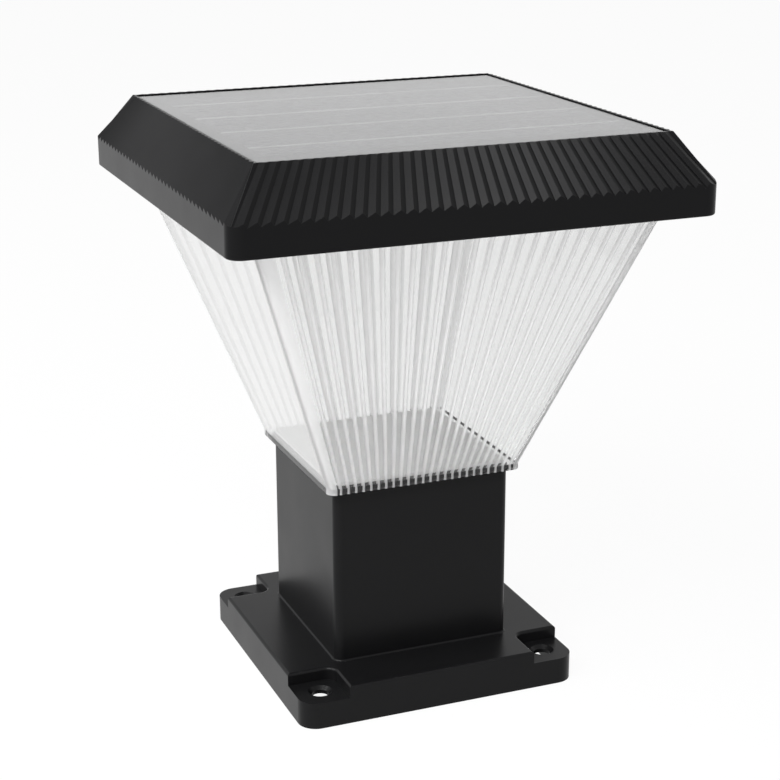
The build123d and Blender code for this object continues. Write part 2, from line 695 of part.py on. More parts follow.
def battery_holder():
    """Open cradle for two cells side by side."""
    body = block((0, 0), DECK, (2 * HOLDER_END, HOLDER_WIDTH, HOLDER_HEIGHT))
    trough = Rot(0, 90, 0) * Cylinder(CELL_RADIUS + HOLDER_GAP, 2 * CONTACT_FACE)
    slot = (2 * HOLDER_END + THROUGH, 2 * (CONTACT_TAB + CONTACT_GAP), HOLDER_HEIGHT)
    for y in battery_rows():
        body -= Pos(0, y, CELL_AXIS) * trough
        body -= block((0, y), CELL_AXIS - CONTACT_TAB - CONTACT_GAP, slot)
    return body


def battery_cells():
    can = fillet(Cylinder(CELL_RADIUS, CELL_LENGTH).edges(), CELL_EDGE)
    return group(Pos(0, y, CELL_AXIS) * Rot(0, 90, 0) * can for y in battery_rows())


def battery_contacts():
    """Leaf contacts: two with a lead tab and one pair joined outside the wall."""
    plates = {side: [] for side in (-1, 1)}
    for side, parts in plates.items():
        for y in battery_rows():
            plate_x = side * (CELL_LENGTH + CONTACT) / 2
            tab_x = side * (CELL_LENGTH / 2 + TAB_END) / 2
            plate = block(
                (plate_x, y), CELL_AXIS - CONTACT_HEIGHT / 2, (CONTACT, CONTACT_WIDTH, CONTACT_HEIGHT)
            )
            size = (TAB_END - CELL_LENGTH / 2, 2 * CONTACT_TAB, 2 * CONTACT_TAB)
            parts.append(plate + block((tab_x, y), CELL_AXIS - CONTACT_TAB, size))
    strap_size = (TAB_END - HOLDER_END, BATTERY_PITCH, 2 * CONTACT_TAB)
    strap = block((-(TAB_END + HOLDER_END) / 2, 0), CELL_AXIS - CONTACT_TAB, strap_size)
    return group(plates[1] + [plates[-1][0] + plates[-1][1] + strap])


def battery_pads():
    """Foam strips between the cells and the roof."""
    size = (PAD_LENGTH, PAD_WIDTH, PAD_THICKNESS)
    return group(block((0, y), CELL_AXIS + CELL_RADIUS, size) for y in battery_rows())


def control_board():
    board = block((0, BOARD_CENTRE_Y), BOARD_LEVEL, (BOARD_LENGTH, BOARD_WIDTH, BOARD))
    for place in board_holes():
        board -= hole(place, BOARD_LEVEL, BOARD_TOP, SMALL_HOLE)
    return board


def lead_sockets():
    turned = (SOCKET[1], SOCKET[0], SOCKET[2])
    sides = [block((x, BOARD_CENTRE_Y), BOARD_TOP, SOCKET) for x in (-SOCKET_X, SOCKET_X)]
    ends = [block((0, BOARD_CENTRE_Y + y), BOARD_TOP, turned) for y in (-SOCKET_Y, SOCKET_Y)]
    return group(sides + ends)


def controller_chip():
    body = block((CHIP_PLACE, BOARD_CENTRE_Y), BOARD_TOP, CHIP)
    return chamfer(body.edges().group_by(Axis.Z)[-1], CHIP_EDGE)


def can_on_board(place, height, radius, edge):
    x, y = place
    can = rod((x, BOARD_CENTRE_Y + y), BOARD_TOP, BOARD_TOP + height, radius)
    return fillet(can.edges().group_by(Axis.Z)[-1], edge)


def switch_body():
    body = block(SWITCH_POINT, DECK, (SWITCH_SIZE, SWITCH_SIZE, SWITCH_HEIGHT))
    depth = BUTTON_STEM + BUTTON_TRAVEL + BUTTON_CLEARANCE
    return body - rod(SWITCH_POINT, DECK - THROUGH, DECK + depth, BUTTON_STEM_RADIUS + BUTTON_CLEARANCE)


def switch_bezel():
    """Ring that guides the button through the base plate."""
    low = BASE_LEVEL - BEZEL_FLANGE
    ring = rod(SWITCH_POINT, low, BASE_LEVEL, BEZEL_RADIUS)
    ring = fillet(ring.edges().group_by(Axis.Z)[0], BEZEL_EDGE)
    ring += rod(SWITCH_POINT, BASE_LEVEL, DECK, BEZEL_NECK_RADIUS)
    return ring - hole(SWITCH_POINT, low, DECK, BUTTON_RADIUS + BUTTON_CLEARANCE)


def switch_seal():
    ring = rod(SWITCH_POINT, BASE_LEVEL, BASE_LEVEL + SEAL_RING, BEZEL_RADIUS)
    return ring - hole(SWITCH_POINT, BASE_LEVEL, DECK, BEZEL_NECK_RADIUS + BEZEL_GAP / 2)


def switch_button():
    low = BASE_LEVEL - BEZEL_FLANGE - BUTTON_PROUD
    high = low + BUTTON_HEIGHT
    button = rod(SWITCH_POINT, low, high, BUTTON_RADIUS)
    button = fillet(button.edges().group_by(Axis.Z)[0], BUTTON_EDGE)
    return button + rod(SWITCH_POINT, high, DECK + BUTTON_STEM, BUTTON_STEM_RADIUS)


def panel_leads():
    x, y = JUNCTION_PLACE
    end = -SOCKET_X - SOCKET[0] / 2
    start = SEAT + ADHESIVE - JUNCTION[2]
    wires = []
    for row in (y - LEAD_PAIR / 2, y + LEAD_PAIR / 2):
        wires.append(lead([(x, row, start), (x, row, WIRE_LEVEL), (end, row, WIRE_LEVEL)]))
    return group(wires)


def battery_leads():
    end = SOCKET_X + SOCKET[0] / 2
    level = CELL_AXIS
    wires = []
    for row, shift in zip(battery_rows(), (LEAD_PAIR / 2, -LEAD_PAIR / 2)):
        out = TAB_END + BATTERY_LEAD_REACH + shift
        back = BOARD_CENTRE_Y + shift
        wires.append(lead([(TAB_END, row, level), (out, row, level), (out, back, level), (end, back, level)]))
    return group(wires)


def led_leads():
    end = BOARD_CENTRE_Y - SOCKET_Y - SOCKET[0] / 2
    level = WIRE_LEVEL + LEAD_PAIR
    return group(
        lead([(x, y, TRAY_LEVEL), (x, y, level), (x, end, level)]) for x, y in led_lead_places()
    )


def switch_leads():
    start = SWITCH_PLACE - SWITCH_SIZE / 2
    end = BOARD_CENTRE_Y + SOCKET_Y + SOCKET[0] / 2
    wires = []
    for shift in (-LEAD_PAIR / 2, LEAD_PAIR / 2):
        row = SWITCH_PLACE + shift
        column = SWITCH_LEAD_TURN - shift
        drop = end + SWITCH_LEAD_DROP + shift
        plan = [(start, row), (column, row), (column, drop), (-shift, drop), (-shift, end)]
        wires.append(lead([(x, y, WIRE_LEVEL) for x, y in plan], SWITCH_LEAD_BEND))
    return group(wires)


def post_screws():
    """Flat-headed screws, level with the lens floor, down into the post."""
    screws = []
    for place in square_places(POST_SCREW_SPACING):
        screw = sunk_cone(place, FLOOR_LEVEL)
        screw += rod(place, FLOOR_LEVEL - POST_SCREW, FLOOR_LEVEL - LARGE_HEAD, LARGE_SHANK)
        screws.append(screw - cross_slot(place, FLOOR_LEVEL, LARGE_HEAD, LARGE_HEAD_RADIUS))
    return group(screws)


def medium_screws(places, level, length):
    return group(
        hanging_screw(place, level, length, MEDIUM_SHANK, MEDIUM_HEAD_RADIUS, MEDIUM_HEAD)
        for place in places
    )


def board_screws():
    return group(
        standing_screw(place, BOARD_TOP, BOARD_SCREW, SMALL_SHANK, SMALL_HEAD_RADIUS, SMALL_HEAD)
        for place in board_holes()
    )


def led_screws():
    return group(
        hanging_screw(place, LED_BOARD_LEVEL, LED_SCREW, SMALL_SHANK, SMALL_HEAD_RADIUS, SMALL_HEAD)
        for place in square_places(LED_SCREW_SPACING)
    )


save("post_base", post_base())
save("post_seal", seal_ring(POST_TOP - SEAL_THICKNESS, POST_TOP))
save("lens", lens())
save("floor_plate", floor_plate())
save("post_screws", post_screws())
save("cap_housing", cap_housing())
save("panel_cover", panel_cover())
save("panel_cells", panel_cells())
save("panel_ribbons", panel_ribbons())
save("panel_backsheet", panel_backsheet())
save("panel_adhesive", panel_adhesive())
save("panel_junction", panel_junction())
save("panel_leads", panel_leads())
save("cap_base", cap_base())
save("cap_screws", medium_screws(mid_places(CAP_BOSS_OFFSET), BASE_LEVEL, CAP_SCREW))
save("lens_gasket", gasket_ring(BASE_LEVEL, BASE_LEVEL + GASKET_THICKNESS))
save("lens_screws", medium_screws(lens_ears(), LENS_MOUTH, LENS_SCREW))
save("led_tray", led_tray())
save("tray_screws", medium_screws(square_places(TRAY_SCREW_SPACING), TRAY_LEVEL, TRAY_SCREW))
save("led_board", led_board())
save("led_chips", led_chips())
save("led_screws", led_screws())
save("led_leads", led_leads())
save("battery_holder", battery_holder())
save("battery_cells", battery_cells())
save("battery_contacts", battery_contacts())
save("battery_pads", battery_pads())
save("battery_leads", battery_leads())
save("control_board", control_board())
save("board_screws", board_screws())
save("lead_sockets", lead_sockets())
save("controller_chip", controller_chip())
save("inductor", can_on_board(COIL_PLACE, INDUCTOR_HEIGHT, INDUCTOR_RADIUS, COIL_EDGE))
save("capacitor", can_on_board(CAN_PLACE, CAPACITOR_HEIGHT, CAPACITOR_RADIUS, CAN_EDGE))
save("switch_body", switch_body())
save("switch_bezel", switch_bezel())
save("switch_seal", switch_seal())
save("switch_button", switch_button())
save("switch_leads", switch_leads())
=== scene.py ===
import math

import bpy
from bpy.props import FloatProperty, FloatVectorProperty, PointerProperty
from mathutils import Matrix, Vector

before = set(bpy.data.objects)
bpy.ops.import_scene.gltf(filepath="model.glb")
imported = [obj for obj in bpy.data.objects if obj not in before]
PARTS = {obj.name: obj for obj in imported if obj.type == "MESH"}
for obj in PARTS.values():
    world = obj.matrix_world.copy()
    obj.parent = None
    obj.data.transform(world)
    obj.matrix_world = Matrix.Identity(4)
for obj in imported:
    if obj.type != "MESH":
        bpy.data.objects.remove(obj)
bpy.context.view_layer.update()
MM = 0.001

# Ridges across a face of the lens, and the height and half width where they start and end.
RIDGES = 24
RIDGE_START = (96.5 * MM, 39.85 * MM)
RIDGE_END = (211.5 * MM, 79.4 * MM)
# The lens's front and back faces lie further out than this share of the half width.
WALL_SHARE = 1.02

# Colour sockets of the Mix node.
MIX_FIRST, MIX_SECOND, MIX_RESULT = 6, 7, 2
# Added to a place before MODULO, which needs it above 0.
ABOVE_ZERO = 1
# Most values of a noise texture lie between these.
NOISE_LOW, NOISE_HIGH = 0.3, 0.7
# Size of the patches of uneven gloss on moulded plastic, in grains.
GLOSS_PATCH = 60

LED_TRACK_PITCH = 0.005
SCREW_ROUGHNESS = 0.3
SCREW_BRUSH = 0.0012
CAP_PLATE_ROUGHNESS = 0.5
CAP_PLATE_SHINE = 0.4
# Roughness, shine, grain size and grain depth of the plainly moulded pieces.
FINISHES = {
    "Floor Plate Plastic": (0.42, 0.5, 0.0005, 0.000008),
    "Back Sheet": (0.5, 0.4, 0.0008, 0.000005),
    "Junction Plastic": (0.45, 0.5, 0.0005, 0.00001),
    "Tray Plastic": (0.38, 0.5, 0.0005, 0.000008),
    "Holder Plastic": (0.5, 0.4, 0.0005, 0.00001),
    "Socket Nylon": (0.4, 0.5, 0.0006, 0.00001),
    "Chip Resin": (0.5, 0.4, 0.0003, 0.000006),
    "Ferrite": (0.6, 0.4, 0.0008, 0.00003),
    "Switch Plastic": (0.4, 0.5, 0.0004, 0.000008),
    "Button Plastic": (0.35, 0.5, 0.0004, 0.000006),
}

CELL_FINGERS = (0.35, 0.35, 0.36)
LED_CASE = (0.85, 0.85, 0.83)
BARE_RIM = (0.6, 0.6, 0.58)
CONTACT_NICKEL = (0.7, 0.69, 0.65)
CAPACITOR_CAN = (0.62, 0.62, 0.63)
CHIP_RESIN = (0.02, 0.02, 0.022)
FERRITE = (0.035, 0.033, 0.032)

# Distance from a battery cell's middle to the bare rims at its ends.
SLEEVE_END = 31.6 * MM
# Planes between the red and the black leads.
LEADS_MIDDLE = 50 * MM
SWITCH_LEADS_MIDDLE = 91 * MM

# Just under the light, so that the two faces don't flicker.
FLOOR_LEVEL = -0.2 * MM
# Name, setting for its power, place, what it points at and side of each lamp.
LAMPS = (
    ("Key Lamp", "key_power", (-0.95, -0.8, 1.3), (0, 0, 0.12), 1.0),
    ("Side Lamp", "side_power", (-1.37, 0.16, 1.15), (0, 0, 0.2), 0.8),
)
SENSOR_WIDTH = 36
CAMERA_RANGE = (0.02, 60)

bl_info = {
    "name": "Solar Pillar Light",
    "version": (1, 0, 0),
    "blender": (4, 5, 0),
    "location": "3D View > Sidebar > Pillar Light",
    "description": "Dresses a square solar pillar light and sets up its studio",
    "category": "Object",
}


def colour_prop(name, description, default):
    return FloatVectorProperty(
        name=name,
        description=description,
        subtype="COLOR",
        size=3,
        min=0,
        max=1,
        default=default,
    )


def share_prop(name, description, default):
    return FloatProperty(
        name=name, description=description, subtype="FACTOR", min=0, max=1, default=default
    )


def length_prop(name, description, default):
    return FloatProperty(
        name=name,
        description=description,
        subtype="DISTANCE",
        unit="LENGTH",
        min=0,
        default=default,
    )


def number_prop(name, description, low, high, default):
    return FloatProperty(name=name, description=description, min=low, max=high, default=default)


def power_prop(name, description, default):
    return FloatProperty(
        name=name, description=description, subtype="POWER", min=0, default=default
    )


def angle_prop(name, description, degrees):
    return FloatProperty(
        name=name, description=description, subtype="ANGLE", default=math.radians(degrees)
    )


class BlackPlasticSettings(bpy.types.PropertyGroup):
    colour: colour_prop(
        "Cap Colour", "Colour of the cap's black plastic", (0.0038, 0.0038, 0.0042)
    )
    shine: share_prop("Cap Shine", "Strength of the cap's reflection seen head on", 0.11)
    base_colour: colour_prop(
        "Pedestal Colour", "Colour of the pedestal's black plastic", (0.006, 0.006, 0.0064)
    )
    base_shine: share_prop(
        "Pedestal Shine", "Strength of the pedestal's reflection seen head on", 0.12
    )
    roughness: share_prop("Roughness", "How matt the black plastic is", 0.3)
    grain: length_prop("Grain", "Size of the fine mould grain", 0.00035)
    grain_depth: length_prop("Grain Depth", "Depth of the fine mould grain", 0.000006)


class LensSettings(bpy.types.PropertyGroup):
    colour: colour_prop("Colour", "Tint of the clear lens plastic", (0.9, 0.902, 0.9))
    # The ridges and rounded corners are painted whiter and milkier than the clear plastic, as a
    # painted highlight.
    ridge_highlight_colour: colour_prop(
        "Ridge Highlight Colour", "Tint of the lens's fine ridges and rounded corners", (1.0, 1.0, 1.0)
    )
    ridge_width: share_prop("Ridge Width", "Width of a ridge as a share of its pitch", 0.32)
    ridge_haze: share_prop("Ridge Haze", "How matt the ridges and rounded corners are", 0.32)
    ridge_painted_white: share_prop(
        "Ridge Painted White", "How white and milky the ridges and rounded corners are", 0.32
    )
    bending: number_prop("Index", "How strongly the lens plastic bends light", 1, 2, 1.49)
    roughness: share_prop("Roughness", "Haze of the lens surface", 0.015)
    flow: length_prop("Flow Marks", "Spacing of the faint flow marks in the moulding", 0.018)
    flow_depth: length_prop("Flow Depth", "Depth of the faint flow marks", 0.00001)


class PanelSettings(bpy.types.PropertyGroup):
    cell_colour: colour_prop("Cell Colour", "Colour of the silicon cells", (0.012, 0.013, 0.02))
    cover_bending: number_prop(
        "Cover Index", "How strongly the clear cover bends light", 1, 2, 1.37
    )
    sheet_colour: colour_prop(
        "Back Sheet Colour", "Colour of the sheet behind the cells", (0.02, 0.02, 0.022)
    )
    ribbon_colour: colour_prop("Ribbon Colour", "Colour of the tinned ribbons", (0.95, 0.95, 0.94))
    finger_pitch: length_prop(
        "Finger Pitch", "Distance between the cells' fine printed lines", 0.0019
    )
    finger_width: length_prop("Finger Width", "Width of the cells' fine printed lines", 0.00012)
    cover_tint: colour_prop("Cover Tint", "Tint of the clear cover", (0.54, 0.54, 0.55))
    haze: share_prop("Cover Haze", "How matt the clear cover is", 0.06)


class LightUnitSettings(bpy.types.PropertyGroup):
    white: colour_prop(
        "White Plastic", "Colour of the tray and the lens floor plate", (0.95, 0.95, 0.94)
    )
    board: colour_prop("Board Mask", "Colour of the LED board's mask", (0.86, 0.86, 0.84))
    phosphor: colour_prop("LED Face", "Colour of the LEDs' yellow faces", (0.9, 0.68, 0.12))
    led_pitch: length_prop("LED Pitch", "Distance between neighbouring LEDs", 0.01)
    led_face: length_prop("LED Face Radius", "Radius of the yellow face of an LED", 0.00105)


class PowerSettings(bpy.types.PropertyGroup):
    sleeve: colour_prop("Cell Sleeve", "Colour of the battery cells' sleeves", (0.03, 0.16, 0.4))
    mask: colour_prop("Board Mask", "Colour of the control board's mask", (0.012, 0.09, 0.035))
    copper: colour_prop("Track Colour", "Colour of the tracks under the mask", (0.03, 0.19, 0.07))
    track_pitch: length_prop("Track Pitch", "Distance between printed tracks", 0.0025)
    lead_red: colour_prop("Red Lead", "Colour of the feed leads", (0.5, 0.02, 0.015))
    lead_black: colour_prop("Black Lead", "Colour of the return leads", (0.012, 0.012, 0.012))


class SwitchSettings(bpy.types.PropertyGroup):
    button: colour_prop("Button Colour", "Colour of the push button", (0.42, 0.03, 0.025))
    rubber: colour_prop("Rubber Colour", "Colour of the seals and pads", (0.018, 0.018, 0.018))
    steel: colour_prop("Steel Colour", "Colour of the screws", (0.58, 0.58, 0.57))


class StageSettings(bpy.types.PropertyGroup):
    floor_colour: colour_prop("Floor Colour", "Colour of the plain floor", (0.92, 0.92, 0.92))
    floor_side: length_prop("Floor Side", "Side of the square floor", 16.0)
    floor_shine: share_prop("Floor White", "Share of the floor that shows plain white", 0.95)
    sky: number_prop("Sky", "Strength of the light from all round", 0, 4, 0.2)
    key_power: power_prop("Key Lamp", "Power of the lamp on the left", 33)
    side_power: power_prop("Side Lamp", "Power of the lamp at the far left", 18)
    focal_length: number_prop("Focal Length", "Focal length in millimetres", 10, 300, 84.92)
    distance: length_prop("Distance", "Distance from the camera to its target", 0.79747)
    target_height: length_prop("Target Height", "Height that the camera looks at", 0.12159)
    target_side: length_prop(
        "Target Side", "How far the target is to the right of the middle", 0.00092
    )
    azimuth: angle_prop("Azimuth", "Direction of the camera", -21.96)
    elevation: angle_prop("Elevation", "Height angle of the camera", 17.88)
    roll: angle_prop("Roll", "Tilt of the camera", -0.14)


class Shades:
    """A new material with its shader and short ways to add nodes."""

    def __init__(self, name):
        self.material = bpy.data.materials.new(name)
        self.material.use_nodes = True
        self.tree = self.material.node_tree
        self.tree.nodes.clear()
        self.output = self.add("ShaderNodeOutputMaterial")
        self.shader = self.add("ShaderNodeBsdfPrincipled")
        self.join(self.shader.outputs["BSDF"], self.output.inputs["Surface"])

    def add(self, kind, **values):
        node = self.tree.nodes.new(kind)
        for key, value in values.items():
            setattr(node, key, value)
        return node

    def join(self, source, target):
        self.tree.links.new(source, target)

    def set(self, **values):
        for key, value in values.items():
            self.shader.inputs[key.replace("_", " ")].default_value = value

    def place(self):
        return self.add("ShaderNodeTexCoord").outputs["Object"]

    def axis(self, name):
        split = self.add("ShaderNodeSeparateXYZ")
        self.join(self.place(), split.inputs["Vector"])
        return split.outputs[name]

    def math(self, operation, first, second=None, third=None):
        node = self.add("ShaderNodeMath", operation=operation)
        for socket, value in zip(node.inputs, (first, second, third)):
            if value is None:
                continue
            if isinstance(value, (int, float)):
                socket.default_value = value
            else:
                self.join(value, socket)
        return node.outputs[0]

    def noise(self, size, detail=2.0, stretch=(1.0, 1.0, 1.0)):
        mapping = self.add("ShaderNodeMapping")
        mapping.inputs["Scale"].default_value = stretch
        node = self.add("ShaderNodeTexNoise")
        node.inputs["Scale"].default_value = 1 / size
        node.inputs["Detail"].default_value = detail
        self.join(self.place(), mapping.inputs["Vector"])
        self.join(mapping.outputs["Vector"], node.inputs["Vector"])
        return node.outputs["Fac"]

    def spread(self, value, low, high):
        """A noise value, stretched to reach from low to high."""
        node = self.add("ShaderNodeMapRange")
        node.inputs["From Min"].default_value = NOISE_LOW
        node.inputs["From Max"].default_value = NOISE_HIGH
        node.inputs["To Min"].default_value = low
        node.inputs["To Max"].default_value = high
        self.join(value, node.inputs["Value"])
        return node.outputs["Result"]

    def step(self, axis, pitch):
        """Place within one pitch, which repeats along an axis."""
        return self.math("MODULO", self.math("ADD", self.axis(axis), ABOVE_ZERO), pitch)

    def between(self, share, low, high):
        """From low where the share is 0 to high where it is 1."""
        return self.math("MULTIPLY_ADD", share, high - low, low)

    def mix(self, share, first, second):
        node = self.add("ShaderNodeMix", data_type="RGBA")
        self.join(share, node.inputs["Factor"])
        for index, value in ((MIX_FIRST, first), (MIX_SECOND, second)):
            socket = node.inputs[index]
            if isinstance(value, bpy.types.NodeSocket):
                self.join(value, socket)
            else:
                socket.default_value = (*value, 1)
        return node.outputs[MIX_RESULT]

    def colour(self, source):
        self.join(source, self.shader.inputs["Base Color"])

    def rough(self, source):
        self.join(source, self.shader.inputs["Roughness"])

    def bump(self, height, depth, strength=1.0):
        node = self.add("ShaderNodeBump")
        node.inputs["Distance"].default_value = depth
        node.inputs["Strength"].default_value = strength
        self.join(height, node.inputs["Height"])
        self.join(node.outputs["Normal"], self.shader.inputs["Normal"])


def toned(colour, factor):
    """A colour made lighter or darker by a factor."""
    return tuple(min(channel * factor, 1) for channel in colour)


def moulded(name, colour, roughness, shine, grain, depth):
    """Moulded plastic with a fine grain and slightly uneven gloss."""
    look = Shades(name)
    look.set(Specular_IOR_Level=shine)
    clouds = look.noise(grain * GLOSS_PATCH, detail=3)
    look.colour(look.mix(clouds, toned(colour, 0.92), toned(colour, 1.1)))
    look.rough(look.spread(clouds, low=roughness * 0.92, high=roughness * 1.08))
    look.bump(look.noise(grain), depth=depth)
    return look.material


def plain(name, colour):
    """Moulded plastic with the finish listed under its name."""
    return moulded(name, colour, *FINISHES[name])


def metal(name, colour, roughness, brush):
    """Metal with fine marks drawn out along its length."""
    look = Shades(name)
    look.set(Metallic=1.0)
    marks = look.noise(brush, detail=3, stretch=(1, 1, 0.2))
    look.colour(look.mix(marks, toned(colour, 0.9), toned(colour, 1.06)))
    look.rough(look.spread(marks, low=roughness * 0.8, high=roughness * 1.25))
    look.bump(marks, depth=brush * 0.01)
    return look.material


def screw_steel(name, switch):
    return metal(name, switch.steel, SCREW_ROUGHNESS, SCREW_BRUSH)


def rubber(name, colour):
    """Matt rubber with a little dust on it."""
    look = Shades(name)
    look.set(Specular_IOR_Level=0.35)
    dust = look.noise(0.0015, detail=4)
    look.colour(look.mix(dust, colour, toned(colour, 1.6)))
    look.rough(look.spread(dust, low=0.62, high=0.8))
    look.bump(look.noise(0.0004), depth=0.00001)
    return look.material


def wear(node, material):
    """Gives a node its material in every slot."""
    part = PARTS[node]
    if not part.material_slots:
        part.data.materials.append(material)
    for entry in part.material_slots:
        entry.material = material


def haze_and_highlight_share(look, width):
    """1 on the ridges and rounded corners of the lens, which are made hazy and painted white as a
    highlight, and 0 elsewhere.
    """
    (low, low_half), (high, high_half) = RIDGE_START, RIDGE_END
    climb = (high_half - low_half) / (high - low)
    half = look.math("MULTIPLY_ADD", look.axis("Z"), climb, low_half - low * climb)
    half = look.math("MAXIMUM", half, low_half)
    along = look.math("DIVIDE", look.axis("X"), look.math("MULTIPLY", half, 2 / RIDGES))
    step = look.math("FRACT", look.math("ADD", along, RIDGES))
    away = look.math("ABSOLUTE", look.math("SUBTRACT", step, 0.5))
    ridge = look.math("LESS_THAN", away, width / 2)
    wall = look.math("MULTIPLY", half, WALL_SHARE)
    aside = look.math("ABSOLUTE", look.axis("X"))
    ahead = look.math("ABSOLUTE", look.axis("Y"))
    front = look.math("GREATER_THAN", ahead, wall)
    corner = look.math("GREATER_THAN", look.math("MINIMUM", aside, ahead), half)
    return look.math("MAXIMUM", look.math("MULTIPLY", ridge, front), corner)


def clear_lens(settings):
    """Clear moulded plastic with matt ridges and corners that are painted milky white as a
    highlight, and faint flow marks.
    """
    look = Shades("Clear Lens")
    look.set(IOR=settings.bending)
    # Painted highlight: besides their haze, the ridges and rounded corners get a whiter colour and
    # let less light through.
    matt = haze_and_highlight_share(look, settings.ridge_width)
    look.colour(look.mix(matt, settings.colour, settings.ridge_highlight_colour))
    look.rough(look.between(matt, settings.roughness, settings.ridge_haze))
    clear = look.between(matt, 1.0, 1 - settings.ridge_painted_white)
    look.join(clear, look.shader.inputs["Transmission Weight"])
    look.bump(look.noise(settings.flow, stretch=(1, 1, 0.4)), depth=settings.flow_depth)
    return look.material


def clear_cover(settings):
    """Clear face of the panel, a little hazy."""
    look = Shades("Clear Panel Cover")
    tint = (*settings.cover_tint, 1)
    look.set(Base_Color=tint, Transmission_Weight=1.0, IOR=settings.cover_bending)
    look.rough(look.spread(look.noise(0.05), low=settings.haze * 0.9, high=settings.haze * 1.1))
    return look.material


def silicon(settings):
    """Dark cells with fine printed lines across each strip."""
    look = Shades("Silicon Cells")
    look.set(Specular_IOR_Level=0.6)
    step = look.step("X", settings.finger_pitch)
    line = look.math("LESS_THAN", step, settings.finger_width)
    pale = toned(settings.cell_colour, 1.7)
    crystal = look.mix(look.noise(0.012, detail=1), settings.cell_colour, pale)
    look.colour(look.mix(line, crystal, CELL_FINGERS))
    look.rough(look.spread(look.noise(0.004), low=0.22, high=0.34))
    return look.material


def ribbon(settings):
    """Tinned ribbon with an uneven solder surface."""
    look = Shades("Tinned Ribbon")
    look.set(Metallic=0.3)
    solder = look.noise(0.0022, detail=3, stretch=(0.35, 1, 1))
    look.colour(look.mix(solder, toned(settings.ribbon_colour, 0.85), settings.ribbon_colour))
    look.rough(look.spread(solder, low=0.25, high=0.5))
    look.bump(solder, depth=0.00008)
    return look.material


def led_face(settings):
    """White LED package with a round yellow face."""
    look = Shades("LED Package")
    look.set(Specular_IOR_Level=0.5)
    half = settings.led_pitch / 2
    offsets = []
    for name in ("X", "Y"):
        cell = look.step(name, settings.led_pitch)
        offsets.append(look.math("SUBTRACT", cell, half))
    squares = [look.math("POWER", offset, 2) for offset in offsets]
    away = look.math("SQRT", look.math("ADD", *squares))
    face = look.math("LESS_THAN", away, settings.led_face)
    look.colour(look.mix(face, LED_CASE, settings.phosphor))
    look.rough(look.spread(look.noise(0.0008), low=0.25, high=0.4))
    return look.material


def circuit(name, mask, track, pitch):
    """Circuit board with tracks showing faintly through its mask."""
    look = Shades(name)
    look.set(Specular_IOR_Level=0.5, Coat_Weight=0.3, Coat_Roughness=0.15)
    cells = look.add("ShaderNodeTexBrick")
    cells.inputs["Scale"].default_value = 1 / pitch
    cells.inputs["Mortar Size"].default_value = 0.12
    cells.inputs["Color1"].default_value = (*mask, 1)
    cells.inputs["Color2"].default_value = (*toned(mask, 1.15), 1)
    cells.inputs["Mortar"].default_value = (*track, 1)
    look.join(look.place(), cells.inputs["Vector"])
    look.colour(cells.outputs["Color"])
    look.rough(look.spread(look.noise(0.002), low=0.3, high=0.42))
    look.bump(cells.outputs["Fac"], depth=0.00003, strength=0.5)
    return look.material


def sleeve(settings):
    """Shrink sleeve of a battery cell with bare rims at its ends."""
    look = Shades("Cell Sleeve")
    look.set(Specular_IOR_Level=0.5)
    edge = look.math("GREATER_THAN", look.math("ABSOLUTE", look.axis("X")), SLEEVE_END)
    wrap = look.mix(look.noise(0.006), settings.sleeve, toned(settings.sleeve, 1.25))
    look.colour(look.mix(edge, wrap, BARE_RIM))
    look.rough(look.spread(look.noise(0.003, detail=3), low=0.22, high=0.36))
    look.bump(look.noise(0.005), depth=0.00003)
    return look.material


def two_leads(name, settings, axis, middle):
    """Red and black insulation, on either side of a middle plane."""
    look = Shades(name)
    look.set(Specular_IOR_Level=0.45)
    side = look.math("GREATER_THAN", look.axis(axis), middle)
    look.colour(look.mix(side, settings.lead_black, settings.lead_red))
    look.rough(look.spread(look.noise(0.001), low=0.4, high=0.55))
    look.bump(look.noise(0.0006), depth=0.00001)
    return look.material


class PieceOperator:
    """What all the operators share"""

    bl_options = {"REGISTER", "UNDO"}


class PILLAR_OT_pedestal(PieceOperator, bpy.types.Operator):
    """Give the pedestal its black plastic and its screws their steel"""

    bl_idname = "pillar.pedestal"
    bl_label = "Pedestal"

    def execute(self, context):
        black = context.scene.pillar_black
        switch = context.scene.pillar_switch
        skin = moulded(
            "Pedestal Plastic",
            black.base_colour,
            black.roughness,
            black.base_shine,
            black.grain,
            black.grain_depth,
        )
        wear("post_base", skin)
        wear("post_seal", rubber("Post Seal Rubber", switch.rubber))
        wear("post_screws", screw_steel("Post Screw Steel", switch))
        return {"FINISHED"}


class PILLAR_OT_lens(PieceOperator, bpy.types.Operator):
    """Give the lens its clear plastic, with its seal and screws"""

    bl_idname = "pillar.lens"
    bl_label = "Lens"

    def execute(self, context):
        lens = context.scene.pillar_lens
        switch = context.scene.pillar_switch
        unit = context.scene.pillar_unit
        wear("lens", clear_lens(lens))
        wear("lens_gasket", rubber("Lens Seal Rubber", switch.rubber))
        wear("lens_screws", screw_steel("Lens Screw Steel", switch))
        wear("floor_plate", plain("Floor Plate Plastic", unit.white))
        return {"FINISHED"}


class PILLAR_OT_cap(PieceOperator, bpy.types.Operator):
    """Give the cap and its base plate their black plastic"""

    bl_idname = "pillar.cap"
    bl_label = "Cap"

    def execute(self, context):
        black = context.scene.pillar_black
        switch = context.scene.pillar_switch
        skin = moulded(
            "Cap Plastic",
            black.colour,
            black.roughness,
            black.shine,
            black.grain,
            black.grain_depth,
        )
        plate = moulded(
            "Cap Plate Plastic",
            black.colour,
            CAP_PLATE_ROUGHNESS,
            CAP_PLATE_SHINE,
            black.grain,
            black.grain_depth,
        )
        wear("cap_housing", skin)
        wear("cap_base", plate)
        wear("cap_screws", screw_steel("Cap Screw Steel", switch))
        return {"FINISHED"}


